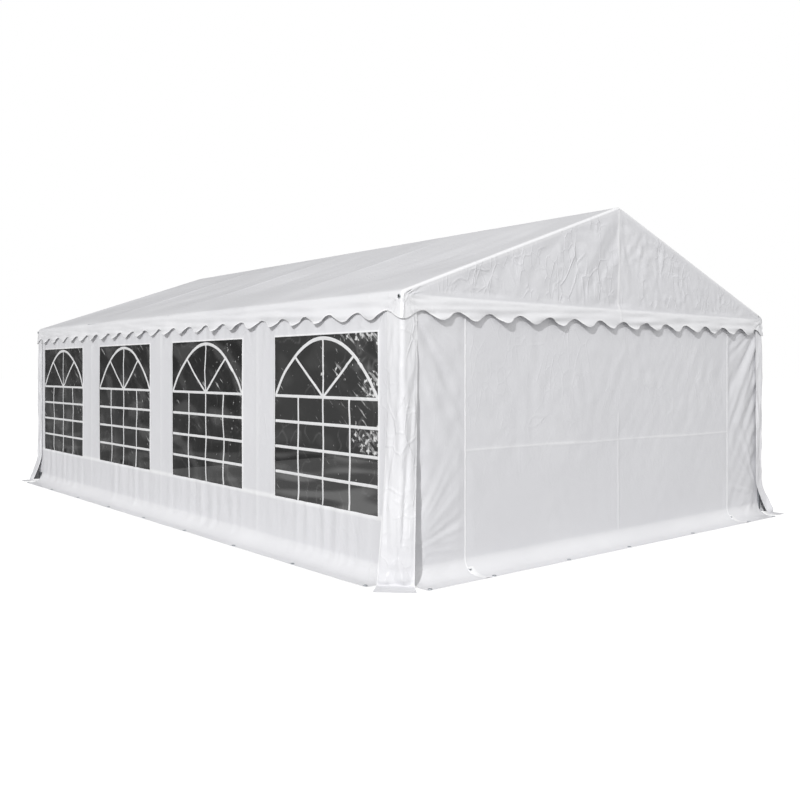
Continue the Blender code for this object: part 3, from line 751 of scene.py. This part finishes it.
def end_relief(end, x, height):
    """How far an end wall's cloth stands out: slow billows, folds that fan from the top and bottom corners,
    small creases and the seams. It is drawn in beside the corner strips and held flat behind the valance."""
    seed = 70 + end
    zip_hold = smooth_step(0, 0.09, np.minimum(np.abs(x - DOOR_LEFT), np.abs(x - DOOR_RIGHT)))
    billow = 0.011 * noise(x / 1.2, height / 1.1, seed)
    door = in_doorway(x)
    corners = sum(
        0.012 * fan(x, height, hand * (END_REACH + 0.02), z0, 9.0, 0.8, seed + i)
        for i, (hand, z0) in enumerate([(-1, 2.05), (1, 2.05), (-1, 0.22), (1, 0.22)])
    )
    slant = np.where(x > 0, 0.015, 0.008)
    slant = slant * (0.25 + 0.75 * smooth_step(0.6, 1.2, height))
    pulls = slant * noise((0.6 * height - 0.8 * np.abs(x)) / 0.1, (0.8 * height + 0.6 * np.abs(x)) / 0.9, seed + 8)
    small = 0.003 * creases(x / 0.5, height / 0.4, seed + 9) + 0.003 * store_folds(x / 0.22, height / 0.26, seed + 10)
    quiet = np.where(door, 0.35 + 0.65 * smooth_step(0.5, 1.3, height), 1.0)
    relief = billow + np.where(door, 0.15, 1.0) * (corners + pulls) + quiet * small
    drawn_in = np.where(x > 0, 0.02, 0.045) * smooth_step(1.9, 0.6, height)
    beside_strip = bump(np.abs(x) - 2.41, 0.08) * drawn_in * (1 + 0.6 * noise(height / 0.16, 0.5, seed + 11))
    hung = smooth_step(WALL_TOP, WALL_TOP - 0.2, height)
    return hung * (zip_hold * relief - beside_strip) + 0.002 * end_seams(x, height) + 0.002


def end_surface(end, x, down, proud=0.0):
    """A point of an end wall: the same section as a long wall, moved outwards by the relief."""
    out, height, level, upright = wall_section(down)
    on_wall = 1 - smooth_step(WALL_TOP - 0.25, WALL_TOP + 0.12, down)
    lift = end_relief(end, x, height) * on_wall + proud
    flap = smooth_step(WALL_TOP - FLARE, WALL_TOP + FLAP, down)
    wave = 0.004 * flap * (1 + noise(x / 0.4, down, 77 + end))
    y = END_Y - 0.006 + out + lift * level
    return np.stack(np.broadcast_arrays(x, end * y, height + lift * upright + wave + 0.002), -1)


weld_marks = [WALL_TOP - DOOR_WELD + step for step in (-0.024, -0.012, 0.0, 0.012, 0.024)]
end_downs = spaced([0, WALL_TOP - DOOR_TOP, *weld_marks, WALL_TOP - FLARE, WALL_LENGTH - 0.02, WALL_LENGTH], 0.019)
end_xs = spaced([-END_REACH, DOOR_LEFT, -0.009, -0.005, 0.005, 0.009, DOOR_RIGHT, END_REACH], 0.017)
for end_name, end in (("front", -1), ("rear", 1)):
    x, down = np.meshgrid(end_xs, end_downs)
    points = end_surface(end, x, down)
    height = wall_section(down)[1]
    in_door = in_doorway((x[1:, 1:] + x[:-1, :-1]) / 2)
    in_door &= (down[1:, 1:] + down[:-1, :-1]) / 2 > WALL_TOP - DOOR_TOP
    # The seams are lighter. The curve at the foot and the flap on the ground are painted light, drawn lighter for the
    # light that the upturned flap catches.
    tone = np.maximum(0.5 * end_seams(x, height), 0.36 * smooth_step(FLARE + 0.01, FLARE - 0.03, height))
    crumple = 0.12 + 0.3 * smooth_step(0.7, 1.3, height) * in_doorway(x)
    wall = new_piece(f"end_wall_{end_name}_cloth", points, cloth, tone, ~in_door, end > 0, crumple)
    door = new_piece(f"door_{end_name}_cloth", points, cloth, tone, in_door, end > 0, crumple)
    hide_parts(f"end_wall_{end_name}")
    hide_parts(f"door_{end_name}")


# Zips: a coil zip on white tape down each side of the door, from the valance to the foot, and a doubled tab of
# cloth that closes the slit in the ground flap.
ZIP_WIDTH = 0.017
TAB_WIDTH = 0.062
TAB_TOP = WALL_TOP - 0.05


def zip_run(end, x0):
    """A zip as one strip with a crowned tape and a round coil down its middle."""
    across = np.array([-1, -0.6, -0.24, -0.12, 0.0, 0.12, 0.24, 0.6, 1.0])
    crown = np.array([0.0008, 0.0016, 0.0018, 0.0040, 0.0048, 0.0040, 0.0018, 0.0016, 0.0008])
    down = np.linspace(0.02, WALL_TOP + 0.02, 150)[:, None]
    return end_surface(end, x0 + across * ZIP_WIDTH / 2, down, crown)


def tab_run(end, x0):
    """The doubled tab over the slit in the flap, beside the zip's foot, with rounded edges."""
    share = np.linspace(0, 1, 9)
    down = np.linspace(TAB_TOP, WALL_LENGTH - 0.003, 40)[:, None]
    crown = 0.001 + 0.003 * np.minimum(1, 6 * share * (1 - share))
    return end_surface(end, x0 + TAB_WIDTH * share + 0.004, down, crown)


for end_name, end in (("front", -1), ("rear", 1)):
    runs = [make(end, x0) for make in (zip_run, tab_run) for x0 in (DOOR_LEFT, DOOR_RIGHT)]
    tones = np.repeat([0.55, 0.55, 1.0, 1.0], [len(run) for run in runs])[:, None]
    zips = ribbon(f"zips_{end_name}", runs, cloth, tones, outwards=end > 0)


# Corner strips: double cloth hung over each corner post and closed over the edges of both walls. Towards the
# foot each turns a little round its corner, leaves the end wall, and opens out into a flare on the ground.
STRIP_X, STRIP_Y = 2.5455, 4.0005
STRIP_BEND = 0.03
STRIP_TOP = 2.0
SIDE_RUN, END_RUN = 0.135, 0.11  # widths of its two faces at the top
# The front left strip has come loose low down. Its ends in plan just above the ground, and those of its flange:
LOOSE = ((2.675, 3.87), (2.498, 4.082), (2.797, 3.975), (2.572, 4.198))
SKIRT, SKIRT_FLANGE = (0.09, 0.09), (0.185, 0.165)  # how far out in plan the feet of the others stand
FLANGE_RAISE = 0.014


def facet(share, height, centre, reach, lean):
    """A low pyramid of stiff cloth: 1 at its middle, falling straight to 0 at the edges of a leaning diamond."""
    down = height - centre[1]
    return np.maximum(0, 1 - np.abs(share - centre[0] - lean * down) / reach[0] - np.abs(down) / reach[1])


def strip_points(hand, end):
    """A corner strip. At the top its plan runs along the long wall, round a quarter circle at the post and along
    the end wall. Downwards it blends, by t^1.4, into the same plan further out, or where it is loose into one
    straight line that cuts off the corner, with folds and, near the ground, stiff facets. There it turns out
    into a flange that lies flat."""
    length = np.linspace(0, SIDE_RUN + STRIP_BEND * np.pi / 2 + END_RUN, 54)
    turn = np.clip((length - SIDE_RUN) / STRIP_BEND, 0, np.pi / 2)
    share = length / length[-1]
    x = STRIP_X - STRIP_BEND * (1 - np.cos(turn)) - np.maximum(length - SIDE_RUN - STRIP_BEND * np.pi / 2, 0)
    y = STRIP_Y - STRIP_BEND * (1 - np.sin(turn)) - np.maximum(SIDE_RUN - length, 0)
    flange = np.concatenate([np.zeros(150), np.linspace(0, 1, 7)[1:]])[:, None]
    height = np.concatenate([np.linspace(STRIP_TOP, FLANGE_RAISE, 150), np.linspace(FLANGE_RAISE, 0.003, 7)[1:]])[:, None]
    loose = hand + end == -2
    hang_side, hang_end, foot_side, foot_end = np.array(LOOSE)
    corner, along = np.stack([x, y], -1), share[:, None]
    hang = hang_side + (hang_end - hang_side) * along if loose else corner + SKIRT
    foot = foot_side + (foot_end - foot_side) * along if loose else corner + SKIRT_FLANGE
    opens = 1.3 if loose else 0.38
    opened = np.clip((opens - height) / (opens - 0.02), 0, 1) ** 1.4
    straight = opened * loose
    x, y = x + opened * (hang[:, 0] - x), y + opened * (hang[:, 1] - y)
    seed = 90 + 2 * hand + end
    fade = smooth_step(STRIP_TOP, STRIP_TOP - 0.25, height) * smooth_step(0.0, 0.06, share)
    fade = fade * (1 - 0.6 * smooth_step(0.88, 1.0, share)) * np.clip((height - FLANGE_RAISE) / 0.03, 0, 1)
    folds = 0.010 * noise(share / 0.3 + 0.25 * height, height / 0.7, seed)
    folds = folds + 0.009 * store_folds(share / 0.3, height / 0.35, seed + 2)
    folds = folds + 0.006 * creases(share / 0.4, height / 0.4, seed + 3)
    groove = smooth_step(1.0, 0.8, height) * smooth_step(0.2, 0.4, height)
    folds = folds - 0.016 * groove * bump(share - 0.66 + 0.10 * (0.55 - height), 0.06)
    folds = folds - 0.8 * np.minimum(folds, 0) * bump(share - 0.6, 0.16) * (1 - straight)
    stiff = 0.030 * facet(share, height, (0.20, 0.035), (0.32, 0.085), 1.6)
    stiff = stiff + 0.034 * facet(share, height, (0.68, 0.07), (0.22, 0.165), -1.0)
    stiff = stiff + 0.005 * smooth_step(0.45, 0.2, height) * store_folds(share / 0.3, height / 0.13, seed + 6)
    out = fade * (smooth_step(0.0, 0.35, height) * (0.004 + folds) + stiff) + 0.001
    x = x + out * (np.cos(turn) + straight * (0.77 - np.cos(turn)))
    y = y + out * (np.sin(turn) + straight * (0.64 - np.sin(turn)))
    x, y = x + flange * (foot[:, 0] - x), y + flange * (foot[:, 1] - y)
    points = np.stack(np.broadcast_arrays(hand * x, end * y, height + 0 * share), -1)
    # The tone is lighter at the hemmed edges. Elsewhere it is held below that of doubled cloth and falls lower towards
    # the foot: painted shade where the strip faces the key light.
    edges = smooth_step(0.04, 0.02, np.minimum(share, 1 - share))
    return points, 0.2 + 0.4 * edges - 0.2 * smooth_step(0.5, 0.25, height)


for end_name, end in (("front", -1), ("rear", 1)):
    for side_name, hand in (("left", -1), ("right", 1)):
        points, tone = strip_points(hand, end)
        strip = new_piece(
            f"corner_strip_{end_name}_{side_name}_cloth", points, cloth, tone, outwards=hand * end < 0, crumple=0.9
        )
        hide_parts(f"corner_strip_{end_name}_{side_name}")


# Eyelets: pressed zinc rings in the ground flaps, where pegs or cords hold them down, and beside each top corner of
# the valance. Inside each ring a dark disc is painted shade for the hole.
EYELET_RING = 0.0135
EYELET_WIRE = 0.0032
EYELET_PITCH = 0.88


def ring(centre, axis, lift):
    """A ring round an axis with its hole: from the middle, a flat disc, then a small circle of one angle carried
    round a large circle of the other."""
    axis = np.asarray(axis, float) / np.linalg.norm(axis)
    first = np.cross(axis, [0.3, 0.5, 0.81])
    first /= np.linalg.norm(first)
    second = np.cross(axis, first)
    big, small = np.meshgrid(np.linspace(0, 2 * np.pi, 17), np.linspace(0, 2 * np.pi, 9), indexing="ij")
    radius = EYELET_RING + EYELET_WIRE * np.cos(small)
    flat = radius[..., None] * (np.cos(big)[..., None] * first + np.sin(big)[..., None] * second)
    return np.asarray(centre) + axis * lift + flat + (EYELET_WIRE * np.sin(small))[..., None] * axis


def hollow(centre, axis, lift):
    """The disc of painted shade inside a ring, from its middle to under the wire."""
    rim = ring(centre, axis, lift)[:, 4]
    middle = np.broadcast_to(np.asarray(centre) + np.asarray(axis, float) * lift, rim.shape)
    return np.stack([middle, rim], axis=1)


def hole_shade():
    """Painted shade inside an eyelet's hole: almost black, a little uneven."""
    made, tree, shader, place = new_material("eyelet_hollow", Roughness=0.9)
    uneven = add_node(tree, "ShaderNodeTexNoise", {"Vector": place, "Scale": 60.0}).outputs["Fac"]
    tree.links.new(blend(tree, uneven, "#101010", "#2A2A2A"), shader.inputs["Base Color"])
    return made


spots = []
edge_down = WALL_LENGTH - 0.022
for end in (-1, 1):
    for x in (-2.44, -1.79, -0.92, -0.10, 0.90, 1.93, 2.44):
        spots.append((end_surface(end, x, edge_down), (0, 0, 1)))
    for x in (DOOR_LEFT + 0.014, DOOR_RIGHT + 0.014):
        spots.append((end_surface(end, x, WALL_TOP - 0.03), (0, 0.5 * end, 0.87)))
    for side in (-1, 1):
        spots.append((side_valance(side, end * (COVER_Y - 0.03), EYELET_Z), (side, 0, 0)))
for side in (-1, 1):
    for y in np.linspace(-FLAP_END + 0.03, FLAP_END - 0.03, 9):
        spots.append((wall_surface(side, y, edge_down), (0, 0, 1)))
eyelets = ribbon("eyelets", [ring(centre, axis, 0.003) for centre, axis in spots], steel)
hole_shades = ribbon("eyelet_hollows", [hollow(centre, axis, 0.003) for centre, axis in spots], hole_shade())


# Studio: a pale floor and a bright surround that is strongest in front, with one hard key light from the left.
KEY_FROM = (-0.762, -0.436, 0.479)
KEY_STRENGTH = 2.3
KEY_DISTANCE = 50.0
KEY_RADIUS = 0.75
SURROUND_REAR, SURROUND_FRONT, SURROUND_TOP = 0.21, 0.79, 0.18
FLOOR_SIZE = 300.0
FLOOR_GLOW = 0.7

floor_mesh = bpy.data.meshes.new("floor")
floor_corners = np.array([[-1, -1, 0], [1, -1, 0], [1, 1, 0], [-1, 1, 0]]) * FLOOR_SIZE / 2
floor_mesh.from_pydata(floor_corners, [], [[0, 1, 2, 3]])
floor = bpy.data.objects.new("floor", floor_mesh)
bpy.context.scene.collection.objects.link(floor)
floor_paint, floor_tree, floor_shader, _ = new_material("floor_paint", Roughness=1.0, Specular_IOR_Level=0.0)
floor_shader.inputs["Base Color"].default_value = linear("#C8C8C8")
floor_shader.inputs["Emission Color"].default_value = (1.0, 1.0, 1.0, 1.0)
seen = add_node(floor_tree, "ShaderNodeLightPath").outputs["Is Camera Ray"]
glow = add_node(floor_tree, "ShaderNodeMath", {0: seen, 1: FLOOR_GLOW}, operation="MULTIPLY")
floor_tree.links.new(glow.outputs[0], floor_shader.inputs["Emission Strength"])
floor_mesh.materials.append(floor_paint)

key = bpy.data.objects.new("key_light", bpy.data.lights.new("key_light", "POINT"))
key.data.energy = KEY_STRENGTH * 4 * np.pi * KEY_DISTANCE**2
key.data.shadow_soft_size = KEY_RADIUS
key.location = np.array([-COVER_X, -COVER_Y, 1.2]) + KEY_DISTANCE * np.array(KEY_FROM)
bpy.context.scene.collection.objects.link(key)

world = bpy.data.worlds.new("surround")
world.use_nodes = True
bpy.context.scene.world = world
sky = world.node_tree
direction = add_node(sky, "ShaderNodeTexCoord").outputs["Generated"]
way = add_node(sky, "ShaderNodeSeparateXYZ", {"Vector": direction}).outputs
level = remap(sky, way["Y"], 1.0, -1.0, SURROUND_REAR, SURROUND_FRONT)
above = remap(sky, way["Z"], 0.0, 1.0, 0.0, SURROUND_TOP)
level = add_node(sky, "ShaderNodeMath", {0: level, 1: above}, operation="ADD").outputs[0]
seen = add_node(sky, "ShaderNodeLightPath").outputs["Is Camera Ray"]
strength = add_node(sky, "ShaderNodeMix", {"Factor": seen, "A": level, "B": 1.0})
sky.links.new(strength.outputs["Result"], sky.nodes["Background"].inputs["Strength"])
sky.nodes["Background"].inputs["Color"].default_value = (1.0, 1.0, 1.0, 1.0)
bpy.context.scene.view_settings.view_transform = "Standard"
